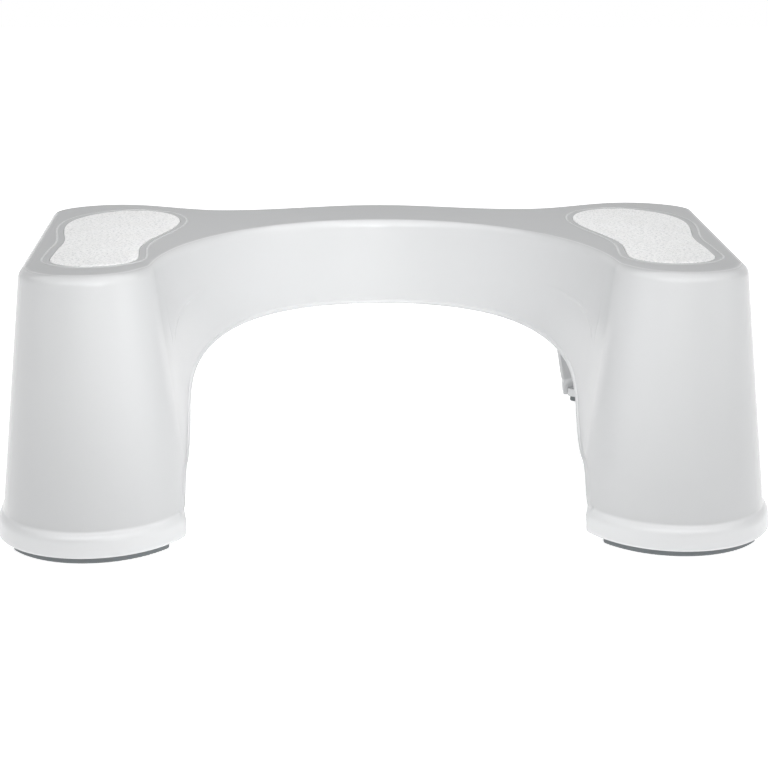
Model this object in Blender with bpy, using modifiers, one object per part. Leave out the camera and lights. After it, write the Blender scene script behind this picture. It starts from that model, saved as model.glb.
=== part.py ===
"""Toilet footstool, for Blender 4.5.  Metres, +Z up, standing on z = 0.

A person sits on the toilet, with the stool's bay round its foot, and rests both feet on the deck.
One injection-moulded shell makes the deck, the walls and the two legs.  It is open underneath, and
stiffened there by ribs.  Two grit pads are let into the deck, and four rubber strips are pressed
into channels under the legs.  The near side, -Y, is the side with the bay.
"""

import math

import bmesh
import bpy
import numpy as np

# Overall sizes of the shell
HEIGHT = 0.180  # floor to deck
WALL = 0.003
DECK_THICKNESS = 0.0035
FLARE = 0.021  # how far the wall would stand outside the deck's edge at the floor
FAR_FLARE = 0.036  # the same on the far side, where the legs reach out further
DECK_FILLET = 0.006
INNER_FILLET = 0.003

# Plan of the deck's edge, right half
BAY_HALF_WIDTH = 0.1483
BAY_DEPTH = 0.198  # from the line of the heel centres to the middle of the bay
HEEL_RADIUS = 0.0431
TOE_RADIUS = 0.0494
FOOT_SPACING = 0.250  # heel centre to toe centre, front to back
TOE_SPLAY = 0.020  # how much further apart the toe centres are, each side
DIP_DROP = 0.0373  # how far the far edge draws in between a toe and the middle
DIP_PLACE = 0.120  # that place, from the middle
CREST_DROP = 0.009  # how far the middle of the far edge lies behind the toes

# Openings between the legs
NEAR_ARCH_HALF_WIDTH = 0.1328
NEAR_ARCH_STEP = 0.0021  # how far the hem's end stands into the near opening
FAR_ARCH_HALF_WIDTH = 0.157
FAR_ARCH_SPLAY = 0.014  # how much wider it is at the floor than at the spring line
ARCH_HEIGHT = 0.1155
ARCH_SPRING = 0.065  # the spring line, where the straight sides begin to curve in
ARCH_SQUARENESS = 4.8  # exponent of the superellipse: 2 is round, more is squarer
LIP_WIDTH = 0.003
LIP_RISE = 0.0012

# Hem round the foot of each leg, with the channel for the strips
HEM_CLEARANCE = 0.0046  # from the floor to the hem
HEM_TOP = 0.0205
HEM_BULGE = 0.003
HEM_SHOULDER = 0.006
HEM_CORNER = 0.0025
CHANNEL_DEPTH = 0.004
CHANNEL_INSET = 0.005  # from the hem's edge to the strip
CHANNEL_RIM = 0.002  # the wall round the channel
CHANNEL_ROOF = 0.003

# Rubber strips
STRIP_WIDTH = 0.008
STRIP_EDGE = 0.001
HEEL_STRIP_REACH = math.radians(53)  # either way from the middle of the heel
TOE_STRIP_REACH = math.radians(35)  # direction of its outer end from the toe centre
TOE_STRIP_PLACE = 0.186  # the point of the deck's edge over its inner end, from the middle

# Foot pads, and the raised bead round each
PAD_PLACE = 0.194  # from the middle of the stool to the pad's centre line
PAD_HEEL_OFFSET = 0.0231  # pad's heel centre beyond the leg's heel centre
PAD_HEEL_RADIUS = 0.0303
PAD_WAIST = 0.0264  # half width at the waist
PAD_WAIST_PLACE = 0.049  # from the pad's heel centre
PAD_BALL = 0.042  # half width at the ball of the foot
PAD_BALL_PLACE = 0.1607
PAD_TOE_LENGTH = 0.071  # from the ball to the tip
PAD_THICKNESS = 0.0015
PAD_RECESS = 0.0012
PAD_EDGE = 0.0004
BEAD_GAP = 0.0053  # from the pad's edge to the bead's middle
BEAD_RADIUS = 0.0013
BEAD_RISE = 0.001

# Ribs under the deck
RIB_DEPTH = 0.012
RIB_THICKNESS = 0.002
RIB_SPACING = 0.050
RIB_PLACE_SHARES = (-1, -1 / 3, 1 / 3, 1)  # of the heel centre's place, for the ribs along Y

FIT = 0.0003  # clearance between neighbouring pieces
OVERRUN = 0.010  # how far a cutter runs past what it cuts
ARC_STEP = math.radians(9)
BAY_STEPS = 16
WAVE_STEPS = 8
LIP_STEPS = 40
FILLET_STEPS = 4
BEAD_SIDES = 3
SOLE_END_STEPS = 9
SOLE_SIDE_STEPS = 16
STRIP_END_STEPS = 6
EDGE_SEGMENTS = 2
SHARP_ANGLE = math.radians(35)
BEVEL_ANGLE = math.radians(50)

HEEL_X = BAY_HALF_WIDTH + HEEL_RADIUS
TOE_X = HEEL_X + TOE_SPLAY
WALL_TOP = HEIGHT - DECK_FILLET
WIDEST_SHARE = (WALL_TOP - HEM_CLEARANCE - HEM_CORNER) / WALL_TOP  # of the flare, at the widest level
EXTRA_DEPTH = (FAR_FLARE - FLARE) * WIDEST_SHARE
HEEL_Y = -(FOOT_SPACING + TOE_RADIUS - HEEL_RADIUS + EXTRA_DEPTH) / 2
TOE_Y = HEEL_Y + FOOT_SPACING
BRIDGE_Y = HEEL_Y + BAY_DEPTH
FAR_Y = TOE_Y + TOE_RADIUS
MIDDLE_Y = (BRIDGE_Y + FAR_Y - CREST_DROP) / 2
CORE_TOP = HEIGHT - DECK_THICKNESS


def arc(centre_x, centre_y, radius, start, end):
    """Points on an arc, with both ends."""
    steps = max(2, math.ceil(abs(end - start) / ARC_STEP))
    turn = np.linspace(start, end, steps + 1)
    return np.column_stack((centre_x + radius * np.cos(turn), centre_y + radius * np.sin(turn)))


def bay_curve():
    """Quarter ellipse from the middle of the bay to the inner side of the right heel."""
    turn = np.linspace(0, np.pi / 2, BAY_STEPS + 1)
    return np.column_stack((BAY_HALF_WIDTH * np.sin(turn), HEEL_Y + BAY_DEPTH * np.cos(turn)))


def wave(x_start, y_start, x_end, y_end, last_share=1):
    """Half a cosine wave from one turning point to the next, or the first share of it."""
    share = np.linspace(0, last_share, WAVE_STEPS + 1)
    rise = (1 - np.cos(np.pi * share)) / 2
    return np.column_stack((x_start + (x_end - x_start) * share, y_start + (y_end - y_start) * rise))


def side_angle():
    """Direction, from each centre, of the line that touches both the heel and the toe circle."""
    length = math.hypot(TOE_SPLAY, FOOT_SPACING)
    return math.atan2(-TOE_SPLAY, FOOT_SPACING) + math.asin((TOE_RADIUS - HEEL_RADIUS) / length)


def half_outline():
    """Right half of the deck's edge, from the middle of the bay round the leg to the far middle."""
    touch = side_angle()
    heel = arc(HEEL_X, HEEL_Y, HEEL_RADIUS, math.pi, 2 * math.pi + touch)
    toe = arc(TOE_X, TOE_Y, TOE_RADIUS, touch, math.pi / 2)
    side = (heel[-1] + toe[0]) / 2
    dip = wave(TOE_X, FAR_Y, DIP_PLACE, FAR_Y - DIP_DROP)
    crest = wave(DIP_PLACE, FAR_Y - DIP_DROP, 0, FAR_Y - CREST_DROP)
    return np.vstack((bay_curve()[:-1], heel, side, toe[:-1], dip[:-1], crest))


def mirrored(right):
    """A whole loop from its right half, which begins and ends on the middle line."""
    return np.vstack((right, (right * (-1, 1))[-2:0:-1]))


def outward(loop):
    """Outward direction at each point of an anticlockwise loop."""
    ahead = np.roll(loop, -1, axis=0) - loop
    ahead /= np.linalg.norm(ahead, axis=1)[:, None]
    along = ahead + np.roll(ahead, 1, axis=0)
    along /= np.linalg.norm(along, axis=1)[:, None]
    return np.column_stack((along[:, 1], -along[:, 0]))


def outline():
    """The deck's whole edge, anticlockwise, and the outward direction at each of its points."""
    points = mirrored(half_outline())
    return points, outward(points)


def flat_ring(points, z):
    """Lift a loop in the plan to a height."""
    return np.column_stack((points, np.full(len(points), z)))


def wall_ring(points, normals, z, proud):
    """The wall's outside at a height, and out from there by a distance.

    The wall leans out in a straight line from the deck's fillet to the floor, more on the far side.
    """
    flare_y = np.where(normals[:, 1] > 0, FAR_FLARE, FLARE)
    lean = normals * np.column_stack((np.full(len(normals), FLARE), flare_y))
    share = max(0, (WALL_TOP - z) / WALL_TOP)
    return flat_ring(points + share * lean + proud * normals, z)


def loft(name, rings, collection):
    """Closed solid through rings of equally many points, with both ends capped."""
    count = len(rings[0])
    graph = bmesh.new()
    loops = [[graph.verts.new(point) for point in ring] for ring in rings]
    for lower, upper in zip(loops, loops[1:]):
        for i in range(count):
            j = (i + 1) % count
            graph.faces.new((lower[i], lower[j], upper[j], upper[i]))
    bmesh.ops.triangulate(graph, faces=graph.faces[:])
    graph.faces.new(loops[0][::-1])
    graph.faces.new(loops[-1])
    bmesh.ops.recalc_face_normals(graph, faces=graph.faces)
    mesh = bpy.data.meshes.new(name)
    graph.to_mesh(mesh)
    graph.free()
    mesh.shade_smooth()
    mesh.set_sharp_from_angle(angle=SHARP_ANGLE)
    return add_object(name, mesh, collection)


def add_object(name, mesh, collection):
    """Put a mesh into a collection; one among the cutters is only drawn as wire."""
    item = bpy.data.objects.new(name, mesh)
    collection.objects.link(item)
    if collection.name == "cutters":
        item.hide_render = True
        item.display_type = "WIRE"
    return item


def combine(item, other, operation, solver="EXACT"):
    """Add a Boolean with another object."""
    modifier = item.modifiers.new(f"{operation.lower()} {other.name}", "BOOLEAN")
    modifier.operation = operation
    modifier.solver = solver
    modifier.object = other


def outer_rings(points, normals):
    """The shell's outside, from the hem's foot to the deck."""
    rings = []
    for turn in np.linspace(0, math.pi / 2, FILLET_STEPS + 1):
        z = HEM_CLEARANCE + HEM_CORNER * (1 - math.cos(turn))
        proud = HEM_BULGE - HEM_CORNER * (1 - math.sin(turn))
        rings.append(wall_ring(points, normals, z, proud))
    for turn in np.linspace(0, math.pi / 2, FILLET_STEPS + 1):
        z = HEM_TOP - HEM_SHOULDER * (1 - math.sin(turn))
        rings.append(wall_ring(points, normals, z, HEM_BULGE * math.cos(turn)))
    for turn in np.linspace(0, math.pi / 2, FILLET_STEPS + 1):
        z = WALL_TOP + DECK_FILLET * math.sin(turn)
        rings.append(wall_ring(points, normals, z, -DECK_FILLET * (1 - math.cos(turn))))
    return rings


def core_rings(points, normals):
    """The hollow inside the shell, open at the floor, which leaves one wall thickness all round."""
    hem_foot = HEM_TOP - HEM_SHOULDER
    fillet_foot = CORE_TOP - INNER_FILLET
    rings = [
        wall_ring(points, normals, -OVERRUN, HEM_BULGE - WALL),
        wall_ring(points, normals, hem_foot, HEM_BULGE - WALL),
        wall_ring(points, normals, HEM_TOP, -WALL),
    ]
    for turn in np.linspace(0, math.pi / 2, FILLET_STEPS):
        z = fillet_foot + INNER_FILLET * math.sin(turn)
        rings.append(wall_ring(points, normals, z, -WALL - INNER_FILLET * (1 - math.cos(turn))))
    return rings


def lip_rings(points, normals):
    """A skin just outside the wall, from inside the hem to the deck's fillet."""
    return [wall_ring(points, normals, z, LIP_RISE) for z in (HEM_TOP - HEM_SHOULDER, WALL_TOP)]


def arch_edge(half_width, splay, step, widening):
    """Edge of an opening seen along Y, from the right foot over the top to the left foot.

    Each side begins with the hem's step and leans in up to the spring line.  A superellipse closes
    the top.
    """
    share = np.linspace(1, -1, LIP_STEPS + 1)
    turn = np.pi / 2 * (1 - np.sign(share) * (1 - (1 - np.abs(share)) ** 2))
    width = half_width + widening
    rise = ARCH_HEIGHT + widening - ARCH_SPRING
    cosine = np.cos(turn)
    x = width * np.sign(cosine) * np.abs(cosine) ** (2 / ARCH_SQUARENESS)
    z = ARCH_SPRING + rise * np.abs(np.sin(turn)) ** (2 / ARCH_SQUARENESS)
    heights = np.array((-OVERRUN, HEM_TOP - HEM_SHOULDER, HEM_TOP))
    places = width + splay * (1 - heights / ARCH_SPRING) - (step, step, 0)
    foot = np.column_stack((places, heights))
    return np.vstack((foot, np.column_stack((x, z)), foot[::-1] * (-1, 1)))


def along_y(profile, y_start, y_end):
    """Two rings that carry a profile along Y."""
    x, z = profile[:, 0], profile[:, 1]
    return [np.column_stack((x, np.full(len(x), y), z)) for y in (y_start, y_end)]


def arch_cutter(name, sizes, reach, collection):
    """The opening under the bridge on one side."""
    return loft(name, along_y(arch_edge(*sizes, 0), *reach), collection)


def arch_band(name, sizes, reach, collection):
    """The zone of the lip: a strip round the arch, widened a little inwards so that the cut is clean."""
    inside = arch_edge(*sizes, -LIP_WIDTH)
    outside = arch_edge(*sizes, LIP_WIDTH)
    return loft(name, along_y(np.vstack((outside, inside[::-1])), *reach), collection)


def pad_half_width(place):
    """Half width of the sole at a distance from its heel centre."""
    heel = np.sqrt(np.clip(PAD_HEEL_RADIUS**2 - place**2, 0, None))
    waist_share = np.clip(place / PAD_WAIST_PLACE, 0, 1)
    ball_share = np.clip((place - PAD_WAIST_PLACE) / (PAD_BALL_PLACE - PAD_WAIST_PLACE), 0, 1)
    toe_share = np.clip((place - PAD_BALL_PLACE) / PAD_TOE_LENGTH, 0, 1)
    narrowing = (PAD_HEEL_RADIUS - PAD_WAIST) * (1 - np.cos(np.pi * waist_share)) / 2
    widening = (PAD_BALL - PAD_WAIST) * (1 - np.cos(np.pi * ball_share)) / 2
    sole = (PAD_HEEL_RADIUS - narrowing + widening) * np.sqrt(1 - toe_share**2)
    return np.where(place < 0, heel, sole)


def pad_outline(offset):
    """The sole's outline round its heel centre, grown outwards by an offset."""
    quarter = np.linspace(0, math.pi / 2, SOLE_END_STEPS + 1)
    heel = -PAD_HEEL_RADIUS * np.cos(quarter[:-1])
    middle = np.linspace(0, PAD_BALL_PLACE, SOLE_SIDE_STEPS + 1)[:-1]
    toe = PAD_BALL_PLACE + PAD_TOE_LENGTH * np.sin(quarter)
    places = np.concatenate((heel, middle, toe))
    points = mirrored(np.column_stack((pad_half_width(places), places)))
    return points + offset * outward(points)


def strip_runs():
    """The two stretches of the right half's edge that the strips follow: points and directions."""
    back = -math.pi / 2
    heel = arc(HEEL_X, HEEL_Y, HEEL_RADIUS, back - HEEL_STRIP_REACH, back + HEEL_STRIP_REACH)
    toe = arc(TOE_X, TOE_Y, TOE_RADIUS, TOE_STRIP_REACH, math.pi / 2)
    wave_share = (TOE_X - TOE_STRIP_PLACE) / (TOE_X - DIP_PLACE)
    dip = wave(TOE_X, FAR_Y, DIP_PLACE, FAR_Y - DIP_DROP, wave_share)
    runs = {}
    for end, points in (("heel", heel), ("toe", np.vstack((toe[:-1], dip)))):
        along = np.gradient(points, axis=0)
        along /= np.linalg.norm(along, axis=1)[:, None]
        runs[end] = (points, np.column_stack((along[:, 1], -along[:, 0])))
    return runs


def strip_loop(points, normals, side, growth):
    """Outline of a strip with round ends, under the middle of the hem's channel."""
    inset = HEM_BULGE - CHANNEL_INSET - STRIP_WIDTH / 2
    spine = wall_ring(points, normals, HEM_CLEARANCE, inset)[:, :2]
    half = STRIP_WIDTH / 2 + growth
    outer = spine + half * normals
    inner = spine - half * normals
    turn = np.linspace(0, math.pi, STRIP_END_STEPS + 1)[1:-1, None]
    ends = []
    for i, sense in ((-1, 1), (0, -1)):
        across = sense * normals[i]
        onward = np.array((-across[1], across[0]))
        ends.append(spine[i] + half * (across * np.cos(turn) + onward * np.sin(turn)))
    return np.vstack((outer, ends[0], inner[::-1], ends[1])) * (side, 1)


def soften(item, width):
    """Round a piece's sharp edges."""
    modifier = item.modifiers.new("rounded edges", "BEVEL")
    modifier.width = width
    modifier.segments = EDGE_SEGMENTS
    modifier.limit_method = "ANGLE"
    modifier.angle_limit = BEVEL_ANGLE


def plates(name, places, across_x, collection):
    """Separate upright plates under the deck, the zones of one set of ribs."""
    graph = bmesh.new()
    reach = HEEL_X + TOE_SPLAY + TOE_RADIUS + FLARE
    for place in places:
        corners = bmesh.ops.create_cube(graph, size=1)["verts"]
        size = (2 * reach, RIB_THICKNESS) if across_x else (RIB_THICKNESS, 2 * reach)
        centre = (0, place) if across_x else (place, 0)
        bmesh.ops.scale(graph, verts=corners, vec=(*size, RIB_DEPTH + OVERRUN))
        z = CORE_TOP - RIB_DEPTH + (RIB_DEPTH + OVERRUN) / 2
        bmesh.ops.translate(graph, verts=corners, vec=(*centre, z))
    mesh = bpy.data.meshes.new(name)
    graph.to_mesh(mesh)
    graph.free()
    return add_object(name, mesh, collection)


def bead(side, cutters):
    """The raised bead round a pad: a closed wire, half sunk in the deck, made a mesh to be joined."""
    loop = pad_outline(BEAD_GAP) + (side * PAD_PLACE, HEEL_Y + PAD_HEEL_OFFSET)
    curve = bpy.data.curves.new("bead wire", "CURVE")
    curve.dimensions = "3D"
    curve.bevel_depth = BEAD_RADIUS
    curve.bevel_resolution = BEAD_SIDES
    spline = curve.splines.new("POLY")
    spline.points.add(len(loop) - 1)
    z = HEIGHT + BEAD_RISE - BEAD_RADIUS
    spline.points.foreach_set("co", [value for x, y in loop for value in (x, y, z, 1)])
    spline.use_cyclic_u = True
    wire = bpy.data.objects.new("bead wire", curve)
    cutters.objects.link(wire)
    bpy.context.view_layer.update()
    evaluated = wire.evaluated_get(bpy.context.evaluated_depsgraph_get())
    mesh = bpy.data.meshes.new_from_object(evaluated)
    bpy.data.objects.remove(wire)
    mesh.shade_smooth()
    return add_object("left bead" if side < 0 else "right bead", mesh, cutters)


def make_shell(parts, cutters, material):
    """The moulded shell.

    The lips, the core and the arches cross at very flat angles, where the exact solver leaves open
    edges, so these cuts use the manifold solver.
    """
    points, normals = outline()
    shell = loft("shell", outer_rings(points, normals), parts)
    core = loft("core", core_rings(points, normals), cutters)
    near_reach = (HEEL_Y - HEEL_RADIUS - FLARE - OVERRUN, MIDDLE_Y)
    far_reach = (MIDDLE_Y, FAR_Y + FAR_FLARE + OVERRUN)
    arches = (
        ("near", (NEAR_ARCH_HALF_WIDTH, 0, NEAR_ARCH_STEP), near_reach),
        ("far", (FAR_ARCH_HALF_WIDTH, FAR_ARCH_SPLAY, 0), far_reach),
    )
    for name, sizes, reach in arches:
        lip = loft(f"{name} lip", lip_rings(points, normals), cutters)
        combine(lip, arch_band(f"{name} lip zone", sizes, reach, cutters), "INTERSECT")
        combine(shell, lip, "UNION", "MANIFOLD")
    last = math.floor((FAR_Y - HEEL_Y) / RIB_SPACING)
    across = [HEEL_Y + RIB_SPACING * k for k in range(last)]
    along = [HEEL_X * share for share in RIB_PLACE_SHARES]
    combine(core, plates("ribs across", across, True, cutters), "DIFFERENCE")
    combine(core, plates("ribs along", along, False, cutters), "DIFFERENCE")
    combine(shell, core, "DIFFERENCE", "MANIFOLD")
    for name, sizes, reach in arches:
        cutter = arch_cutter(f"{name} arch", sizes, reach, cutters)
        combine(shell, cutter, "DIFFERENCE", "MANIFOLD")
    roof = HEM_CLEARANCE + CHANNEL_DEPTH
    for side in (-1, 1):
        label = "left" if side < 0 else "right"
        place = (side * PAD_PLACE, HEEL_Y + PAD_HEEL_OFFSET)
        loop = pad_outline(FIT) + place
        recess = [flat_ring(loop, HEIGHT - PAD_RECESS), flat_ring(loop, HEIGHT + OVERRUN)]
        combine(shell, loft(f"{label} pad recess", recess, cutters), "DIFFERENCE")
        combine(shell, bead(side, cutters), "UNION")
        for end, (run, directions) in strip_runs().items():
            rim = strip_loop(run, directions, side, FIT + CHANNEL_RIM)
            box = [flat_ring(rim, z) for z in (HEM_CLEARANCE + FIT, roof + CHANNEL_ROOF)]
            combine(shell, loft(f"{label} {end} channel box", box, cutters), "UNION")
            loop = strip_loop(run, directions, side, FIT)
            channel = [flat_ring(loop, z) for z in (-OVERRUN, roof)]
            combine(shell, loft(f"{label} {end} channel", channel, cutters), "DIFFERENCE")
    shell.data.materials.append(material)
    return shell


def make_pads(parts, material):
    """Two sole-shaped grit pads, let into the deck."""
    foot = HEIGHT - PAD_RECESS + FIT
    loop = pad_outline(0)
    pads = []
    for label, side in (("left", -1), ("right", 1)):
        rings = [flat_ring(loop, 0), flat_ring(loop, PAD_THICKNESS)]
        pad = loft(f"{label}_foot_pad", rings, parts)
        pad.location = (side * PAD_PLACE, HEEL_Y + PAD_HEEL_OFFSET, foot)
        soften(pad, PAD_EDGE)
        pad.data.materials.append(material)
        pads.append(pad)
    return pads


def make_strips(parts, material):
    """Four rubber strips, two under each leg, that the stool stands on."""
    top = HEM_CLEARANCE + CHANNEL_DEPTH - FIT
    strips = []
    for label, side in (("left", -1), ("right", 1)):
        for end, (run, directions) in strip_runs().items():
            loop = strip_loop(run, directions, side, 0)
            strip = loft(f"{label}_{end}_strip", [flat_ring(loop, 0), flat_ring(loop, top)], parts)
            soften(strip, STRIP_EDGE)
            strip.data.materials.append(material)
            strips.append(strip)
    return strips


def make_material(name, colour, roughness):
    """A plain finish: colour and roughness."""
    material = bpy.data.materials.new(name)
    material.use_nodes = True
    surface = material.node_tree.nodes["Principled BSDF"]
    surface.inputs["Base Color"].default_value = (*colour, 1)
    surface.inputs["Roughness"].default_value = roughness
    surface.inputs["Metallic"].default_value = 0
    return material


def main():
    for item in list(bpy.data.objects):
        bpy.data.objects.remove(item)
    parts = bpy.data.collections.new("toilet_footstool")
    cutters = bpy.data.collections.new("cutters")
    for collection in (parts, cutters):
        bpy.context.scene.collection.children.link(collection)
    plastic = make_material("white polypropylene", (0.83, 0.84, 0.85), 0.25)
    grit = make_material("light grit", (0.72, 0.73, 0.74), 0.9)
    rubber = make_material("grey rubber", (0.13, 0.14, 0.15), 0.75)
    pieces = [make_shell(parts, cutters, plastic)]
    pieces += make_pads(parts, grit)
    pieces += make_strips(parts, rubber)
    stool = bpy.data.objects.new("toilet_footstool", None)
    parts.objects.link(stool)
    for piece in pieces:
        piece.parent = stool


main()
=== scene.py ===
# %% [markdown]
# # A toilet footstool
# A person sits on the toilet, with the stool's bay round its foot, and rests both feet on the deck.
# The real stool is one injection moulding of white polypropylene, open underneath, with two
# stuck-on grit pads on top and four soft rubber strips below.
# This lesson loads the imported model, works out a finer surface for each piece in numpy, gives
# every surface a material of its own, and lights the stool as in a product photograph.
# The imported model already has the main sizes, so the new surfaces repeat them in metres and add the
# finer ones, such as the crease beside each heel end.

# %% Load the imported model
import math

import bpy
import numpy as np
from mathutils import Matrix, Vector
from mathutils.geometry import tessellate_polygon


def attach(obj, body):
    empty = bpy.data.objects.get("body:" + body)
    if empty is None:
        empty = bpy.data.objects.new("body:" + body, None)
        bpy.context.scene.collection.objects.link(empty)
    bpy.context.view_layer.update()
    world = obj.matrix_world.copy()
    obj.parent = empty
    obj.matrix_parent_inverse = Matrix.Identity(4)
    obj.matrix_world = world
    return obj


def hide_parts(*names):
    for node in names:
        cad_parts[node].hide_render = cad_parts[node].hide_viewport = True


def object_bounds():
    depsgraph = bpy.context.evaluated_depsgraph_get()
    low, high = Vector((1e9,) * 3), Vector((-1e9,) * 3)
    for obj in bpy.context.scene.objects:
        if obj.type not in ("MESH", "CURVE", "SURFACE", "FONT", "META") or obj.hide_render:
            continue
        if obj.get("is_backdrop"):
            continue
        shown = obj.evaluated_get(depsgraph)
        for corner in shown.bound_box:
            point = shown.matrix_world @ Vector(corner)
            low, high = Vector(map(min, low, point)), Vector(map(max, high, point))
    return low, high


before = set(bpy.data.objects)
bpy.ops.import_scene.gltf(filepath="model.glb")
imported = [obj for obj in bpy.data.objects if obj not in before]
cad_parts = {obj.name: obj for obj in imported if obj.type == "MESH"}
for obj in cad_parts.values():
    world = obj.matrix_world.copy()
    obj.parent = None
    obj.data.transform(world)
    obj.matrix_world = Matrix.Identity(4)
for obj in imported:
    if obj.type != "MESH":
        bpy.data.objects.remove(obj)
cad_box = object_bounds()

print("packed nodes:", ", ".join(sorted(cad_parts)))

# %% [markdown]
# ## The deck's edge
# On the real stool the deck's edge is one flowing line: an elliptical bay, a round heel end, a
# nearly straight side, a round toe end, and a far edge that dips and rises.
# It could be drawn as a Bezier curve, but then its length is not known before it is drawn.
# Here each stretch has its formula, and the points are spread evenly by arc length, so that every
# later surface can ask for the point and the outward direction at a distance s along the edge.

# %% Sizes of the deck
HEIGHT = 0.180
BAY_HALF_WIDTH = 0.1483
BAY_DEPTH = 0.198
HEEL_RADIUS = 0.0431
TOE_RADIUS = 0.0494
FOOT_SPACING = 0.250
TOE_SPLAY = 0.020
DIP_DROP = 0.0373
DIP_PLACE = 0.120
CREST_DROP = 0.009
HEEL_X = BAY_HALF_WIDTH + HEEL_RADIUS
HEEL_Y = -0.13534
TOE_X = HEEL_X + TOE_SPLAY
TOE_Y = HEEL_Y + FOOT_SPACING
FAR_Y = TOE_Y + TOE_RADIUS
LINE_POINTS = 6000  # on the deck's edge and on the lower edge
print(f"the deck is {2 * (TOE_X + TOE_RADIUS) * 1000:.0f} mm wide at the toes")


# %% Even points along a line
def evenly(points, count):
    """Points at equal steps of arc length along a polyline, and its length.

    The arc length is the running sum of the distances between neighbours, and each coordinate is
    read from it by linear interpolation.
    """
    steps = np.linalg.norm(np.diff(points, axis=0), axis=1)
    keep = np.r_[True, steps > 1e-9]
    points = points[keep]
    length = np.r_[0, np.cumsum(steps[steps > 1e-9])]
    place = np.linspace(0, length[-1], count)
    return np.column_stack([np.interp(place, length, column) for column in points.T]), length[-1]


# %% The right half of the deck's edge
def deck_edge():
    """Right half of the deck's edge, from the middle of the bay to the middle of the far side.

    Bay: (a sin t, b cos t).  Heel and toe: arcs about their centres, joined by their common
    tangent.  Far side: half cosine waves from the toe to the dip and from the dip to the crest.
    """
    quarter = np.linspace(0, np.pi / 2, 1500)
    bay = np.column_stack((BAY_HALF_WIDTH * np.sin(quarter), HEEL_Y + BAY_DEPTH * np.cos(quarter)))
    length = math.hypot(TOE_SPLAY, FOOT_SPACING)
    touch = math.asin((TOE_RADIUS - HEEL_RADIUS) / length) - math.atan2(TOE_SPLAY, FOOT_SPACING)
    turn = np.linspace(np.pi, 2 * np.pi + touch, 900)
    heel = np.column_stack((HEEL_X + HEEL_RADIUS * np.cos(turn), HEEL_Y + HEEL_RADIUS * np.sin(turn)))
    turn = np.linspace(touch, np.pi / 2, 500)
    toe = np.column_stack((TOE_X + TOE_RADIUS * np.cos(turn), TOE_Y + TOE_RADIUS * np.sin(turn)))
    share = np.linspace(0, 1, 700)
    wave = (1 - np.cos(np.pi * share)) / 2
    dip = np.column_stack((TOE_X + (DIP_PLACE - TOE_X) * share, FAR_Y - DIP_DROP * wave))
    crest = np.column_stack((DIP_PLACE * (1 - share), FAR_Y - DIP_DROP + (DIP_DROP - CREST_DROP) * wave))
    return np.vstack((bay, heel, toe, dip, crest))


EDGE, EDGE_LENGTH = evenly(deck_edge(), LINE_POINTS)
EDGE_PLACE = np.linspace(0, EDGE_LENGTH, len(EDGE))
along = np.gradient(EDGE, axis=0)
along[0] = along[-1] * (-1, 1)
along /= np.linalg.norm(along, axis=1)[:, None]
EDGE_NORMAL = np.column_stack((along[:, 1], -along[:, 0]))
EDGE_NORMAL[0] = (0, -1)
EDGE_NORMAL[-1] = (0, 1)
print(f"half of the deck's edge: {EDGE_LENGTH * 1000:.0f} mm")


# %% Small curves
def ease(x):
    """0 below 0, 1 above 1, and 3x^2 - 2x^3 between, level at both ends."""
    x = np.clip(x, 0, 1)
    return x * x * (3 - 2 * x)


def edge_at(s):
    """Point and outward direction of the deck's edge at distance s from the middle of the bay."""
    point = np.stack([np.interp(s, EDGE_PLACE, column) for column in EDGE.T], axis=-1)
    normal = np.stack([np.interp(s, EDGE_PLACE, column) for column in EDGE_NORMAL.T], axis=-1)
    return point, normal / np.linalg.norm(normal, axis=-1, keepdims=True)


# %% [markdown]
# ## The leaning wall
# The real wall leans outwards all the way down, so that stools stack and the moulding leaves its
# tool, and it leans further on the far side.
# A loft between two rings would do, but a formula can also carry the hem, the lip and the small
# crease beside each heel as heights that are added to it.
# So the wall is a function: a point of the edge, moved out by the lean's share at height z, and
# then a little further along the outward direction by how proud the surface stands there.

# %% The wall as a function of s and z
FLARE = 0.021
FAR_FLARE = 0.036
LEAN_TOP = 0.173  # where the lean ends and the deck's fillet begins
SIDE_FILLET = 0.0048
NEAR_FILLET = 0.0090
WIDER_FROM = 0.262  # where along the edge the fillet begins to widen
WIDER_WITHIN = 0.030


def wall(s, z, proud):
    """P = edge(s) + lean + proud n, at height z; lean = n (LEAN_TOP - z) / LEAN_TOP times the flare.

    The flare's part along Y grows to FAR_FLARE by an ease while the Y of n goes from 0 to 0.6.
    """
    point, normal = edge_at(s)
    far = ease(normal[..., 1] / 0.6)
    flare = np.stack((np.full_like(far, FLARE), FLARE + (FAR_FLARE - FLARE) * far), axis=-1)
    share = np.clip((LEAN_TOP - z) / LEAN_TOP, 0, None)[..., None]
    place = point + share * flare * normal + np.asarray(proud)[..., None] * normal
    return np.concatenate((place, np.broadcast_to(z, s.shape)[..., None]), axis=-1)


def deck_fillet(s):
    """How far in the deck's fillet reaches: NEAR_FILLET where a heel end faces the near side.

    Elsewhere it is SIDE_FILLET.  The two are blended by an ease along the edge, times one while
    the Y of the outward direction falls from 0.15 to -0.35.
    """
    _, normal = edge_at(s)
    on_heel = ease((s - WIDER_FROM) / WIDER_WITHIN) * ease((0.15 - normal[..., 1]) / 0.5)
    return SIDE_FILLET + (NEAR_FILLET - SIDE_FILLET) * on_heel


lean, far_lean = (math.degrees(math.atan(flare / LEAN_TOP)) for flare in (FLARE, FAR_FLARE))
print(f"the wall leans by {lean:.1f} degrees, on the far side by {far_lean:.1f}")


# %% [markdown]
# ## The lower edge
# Seen from the front the wall ends in a wide arch, with a moulded lip along it, and each leg ends
# in a hem 16 mm high.  The far side has a second arch.
# Cutting them with Booleans would leave long thin triangles, which show as streaks in a gloss
# surface.
# Instead the whole lower edge is one line in the wall's own coordinates s and z: down the near
# arch, along the hem's foot, and up the far arch, with its corners rounded.

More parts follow.
